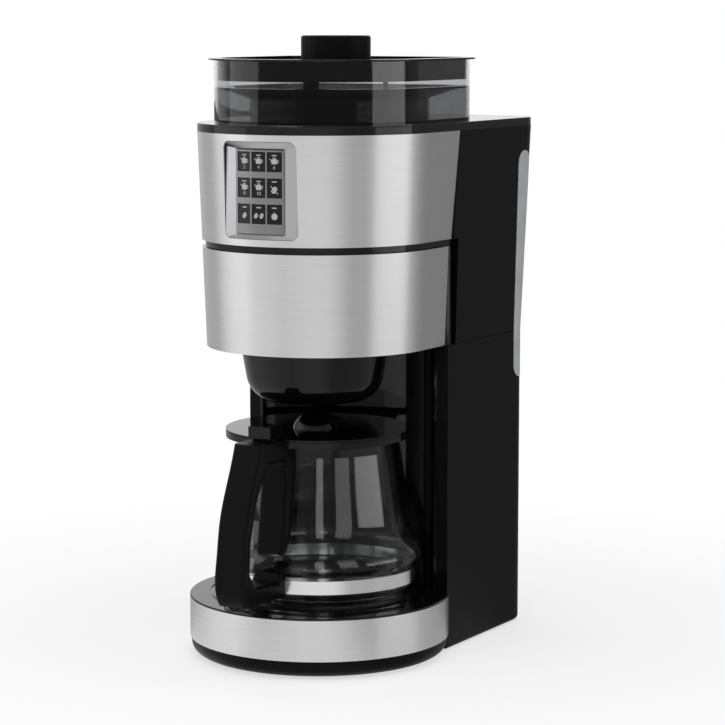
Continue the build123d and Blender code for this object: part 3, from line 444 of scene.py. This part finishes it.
def bar(x, y, width, height, turn=0.0):
    """Outline of a bar with a centre, turned in degrees."""
    right, top = width / 2, height / 2
    return turned([(-right, -top), (right, -top), (right, top), (-right, top)], x, y, turn)


# Of a bean: its turn in degrees, its slit in mm, and shares of its length
BEAN_TURN = 35.0
BEAN_SLIT = 0.12
BEAN_HALF_WIDTH = 0.32
BEAN_CURL = 0.06
BEAN_STEPS = 14


def bean(x, y, length):
    """Two halves of a coffee bean with a curled slit between them."""
    outlines = []
    for side in (-1, 1):
        half = []
        for k in range(BEAN_STEPS + 1):
            around = pi * k / BEAN_STEPS
            u = length / 2 * cos(around)
            v = side * (BEAN_SLIT + length * BEAN_HALF_WIDTH * sin(around))
            half.append((u, v + BEAN_CURL * length * sin(2 * pi * u / length)))
        outline = turned(half, x, y, BEAN_TURN)
        outlines.append(outline if side > 0 else outline[::-1])
    return outlines


# Outlines of a coffee pot that is one unit across: its body, lid, spout and handle
POT_PARTS = (
    [(-0.42, -0.5), (0.42, -0.5), (0.5, 0.08), (0.28, 0.26), (-0.28, 0.26), (-0.5, 0.08)],
    [(-0.3, 0.33), (0.3, 0.33), (0.12, 0.48), (-0.12, 0.48)],
    [(-0.49, 0.0), (-0.78, 0.24), (-0.66, 0.3), (-0.45, 0.14)],
    ring_arc(0.46, -0.1, inner=0.17, outer=0.27, start=-95, end=95, steps=10),
)


def pot(x, y, size):
    return [[(x + u * size, y + v * size) for u, v in part] for part in POT_PARTS]


# Keys: a light bar above a picture, with plain numerals under the pots. Places and sizes are in
# mm from a key's middle.
CUPS = {(1, 1): "2", (1, 2): "4", (1, 3): "6", (2, 1): "8", (2, 2): "10"}
GRINDER_OFF, ONE_BEAN, TWO_BEANS = (2, 3), (3, 1), (3, 2)
PICTURE_Y = -1.2
POT_Y, POT_SIZE = 0.9, 4.6
NUMERAL_Y, NUMERAL_HEIGHT = -4.9, 2.5
TWIN_X, TWIN_LENGTH = 2.2, 4.0


def key_marks(row, column):
    """Outlines and numerals on a key; the last key has a power sign."""
    outlines = [bar(0, 4.4, width=3.6, height=0.75)]
    letters = []
    if (row, column) in CUPS:
        outlines += pot(0, POT_Y, POT_SIZE)
        letters.append((CUPS[row, column], 0, NUMERAL_Y, NUMERAL_HEIGHT))
    elif (row, column) == GRINDER_OFF:
        outlines += bean(0, PICTURE_Y, length=5.2)
        outlines.append(bar(0, PICTURE_Y, width=7.6, height=0.55, turn=-45))
    elif (row, column) == ONE_BEAN:
        outlines += bean(0, PICTURE_Y, length=4.4)
    elif (row, column) == TWO_BEANS:
        for x in (-TWIN_X, TWIN_X):
            outlines += bean(x, PICTURE_Y, TWIN_LENGTH)
    else:
        outlines.append(ring_arc(0, -1.4, inner=1.7, outer=2.25, start=120, end=420, steps=24))
        outlines.append(bar(0, 0.3, width=0.6, height=2.6))
    return outlines, letters


# Radius of the keys' faces round the brew axis, and how far the print lies in front of them
KEY_FACE_RADIUS = 82.0 * MM
PRINT_LIFT = 0.04 * MM


def add_key_marks():
    for row in range(1, KEY_ROWS + 1):
        for column in range(1, KEY_COLUMNS + 1):
            key, name = f"key_{row}_{column}", f"marks_{row}_{column}"
            centre, front = middle(key), corners(key)[0].y
            mesh = flat_mesh(name, *key_marks(row, column))
            angle = atan2(centre.x, AXIS_Y - front)
            wrap(mesh, KEY_FACE_RADIUS + PRINT_LIFT, angle, centre.z)
            mesh.materials.append(ink)
            piece = new_object(name, mesh)
            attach(piece, nodes[key]["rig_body"])


# Studio. Azimuths are in degrees, from the front to the right; a zone is given by its azimuth and
# how far its full and its last effect reach to each side.
FLOOR_HALF = 9.0
FLOOR_TONE = (0.55, 0.55, 0.55, 1)
FLOOR_LIFT = 0.62
SHADOW_REACH = 0.62

# Straight behind the machine from the camera, and what is white there
BEHIND = 209.8
FLOOR_THROUGH = (BEHIND, 80, 95)
WORLD_THROUGH = (BEHIND, 37, 66)
WORLD_MIRRORED = (BEHIND, 18, 40)

# How bright the room is to satin surfaces, on its dark side, to glass, and as a fill light
ROOM = 0.47
DARK_SIDE = 0.24
DARK_ZONE = (172, 24, 44)
GLASS_ROOM = 0.13
FILL = 0.42

# Pale zones of the room that satin surfaces mirror, and their strengths
PALE_PARTS = (((-38, 10, 50), 0.36), ((25, 3, 34), 0.38))

LIGHT_TARGET = Vector((0, 0, 0.22))
# Name, azimuth, elevation, distance, width, height, radiance, and the only node that it lights
SOFTBOXES = (
    ("right_box", 101, 1.5, 1.6, 1.2, 0.44, 1.55, None),
    ("left_panel", -62, 14, 2.0, 1.6, 1.2, 0.6, None),
    ("top_panel", 10, 82, 1.7, 1.6, 1.6, 1.0, None),
    ("strip_a", 28, 7, 1.2, 0.2, 1.2, 1.3, "carafe_glass"),
    ("strip_b", 60, 7, 1.2, 0.44, 1.2, 0.85, "carafe_glass"),
)


def room_glow(n, way):
    """How bright the room is in a direction."""
    glow = n.mix(n.toward(way, *DARK_ZONE), ROOM, DARK_SIDE)
    for zone, strength in PALE_PARTS:
        part = n.math("MULTIPLY", n.toward(way, *zone), strength)
        glow = n.math("ADD", glow, part)
    return glow


def add_floor():
    """Floor that is white to the camera and in glass, and keeps the shadow near the machine."""
    mesh = bpy.data.meshes.new("floor")
    bm = bmesh.new()
    bmesh.ops.create_grid(bm, x_segments=1, y_segments=1, size=FLOOR_HALF)
    bm.to_mesh(mesh)
    bm.free()
    s = Shader("floor")
    s.put(Roughness=0.9, Specular_IOR_Level=0.0, Base_Color=FLOOR_TONE)
    path = s.add("ShaderNodeLightPath")
    place = s.add("ShaderNodeTexCoord").outputs["Object"]
    reach = s.add("ShaderNodeVectorMath", operation="LENGTH")
    s.link(place, reach.inputs[0])
    reach = reach.outputs["Value"]
    way = s.add("ShaderNodeVectorMath", operation="NORMALIZE")
    s.link(place, way.inputs[0])
    way = way.outputs["Vector"]

    # The camera sees the lit floor lifted to white, as glass does behind the machine
    through = s.toward(way, *FLOOR_THROUGH)
    through = s.math("MULTIPLY", path.outputs["Is Transmission Ray"], through)
    seen = s.math("MAXIMUM", path.outputs["Is Camera Ray"], through)
    lift = s.add("ShaderNodeEmission")
    s.link(s.math("MULTIPLY", seen, FLOOR_LIFT), lift.inputs["Strength"])
    lit = s.add("ShaderNodeAddShader")
    s.link(s.surface.outputs["BSDF"], lit.inputs[0])
    s.link(lift.outputs["Emission"], lit.inputs[1])

    # Satin surfaces mirror the room's glow on the floor, and glass a dim floor
    glossy = path.outputs["Is Glossy Ray"]
    mirrored = s.mix(path.outputs["Is Singular Ray"], room_glow(s, way), GLASS_ROOM)
    plain = s.add("ShaderNodeEmission")
    s.link(s.mix(glossy, 1.0, mirrored), plain.inputs["Strength"])
    far = s.math("MULTIPLY", seen, s.zone(reach, SHADOW_REACH / 2, SHADOW_REACH, 0.0, 1.0))
    pick = s.add("ShaderNodeMixShader")
    s.link(s.math("MAXIMUM", far, glossy), pick.inputs["Fac"])
    s.link(lit.outputs[0], pick.inputs[1])
    s.link(plain.outputs["Emission"], pick.inputs[2])
    s.link(pick.outputs[0], s.tree.nodes["Material Output"].inputs["Surface"])
    mesh.materials.append(s.material)
    new_object("floor", mesh)


def add_world():
    """White to the camera, and behind the machine to glass and reflections; a room elsewhere."""
    world = bpy.data.worlds.new("studio")
    world.use_nodes = True
    n = Nodes(world.node_tree)
    path = n.add("ShaderNodeLightPath")
    way = n.add("ShaderNodeTexCoord").outputs["Generated"]
    through = n.toward(way, *WORLD_THROUGH)
    through = n.math("MULTIPLY", path.outputs["Is Transmission Ray"], through)
    seen = n.math("MAXIMUM", path.outputs["Is Camera Ray"], through)
    room = n.mix(path.outputs["Is Singular Ray"], room_glow(n, way), GLASS_ROOM)
    mirrored = n.mix(n.toward(way, *WORLD_MIRRORED), room, 1.0)
    fill = n.mix(path.outputs["Is Glossy Ray"], FILL, mirrored)
    back = n.tree.nodes["Background"]
    n.link(n.mix(seen, fill, 1.0), back.inputs["Strength"])
    back.inputs["Color"].default_value = (1, 1, 1, 1)
    bpy.context.scene.world = world


def add_softbox(name, azimuth, elevation, distance, width, height, radiance, only):
    """Area light aimed at the middle of the machine."""
    data = bpy.data.lights.new(name, type="AREA")
    data.shape = "RECTANGLE"
    data.size = width
    data.size_y = height
    data.energy = radiance * pi * width * height
    light = new_object(name, data)
    lift = radians(elevation)
    away = heading(azimuth) * cos(lift) + Vector((0, 0, sin(lift)))
    light.location = LIGHT_TARGET + away * distance
    light.rotation_euler = away.to_track_quat("Z", "Y").to_euler()
    light.visible_camera = False
    if only:
        lit = bpy.data.collections.new(name)
        lit.objects.link(nodes[only])
        light.light_linking.receiver_collection = lit


add_camera()
add_world()
add_floor()
for box in SOFTBOXES:
    add_softbox(*box)
add_key_marks()
add_spring()

bpy.context.scene.view_settings.view_transform = "Standard"
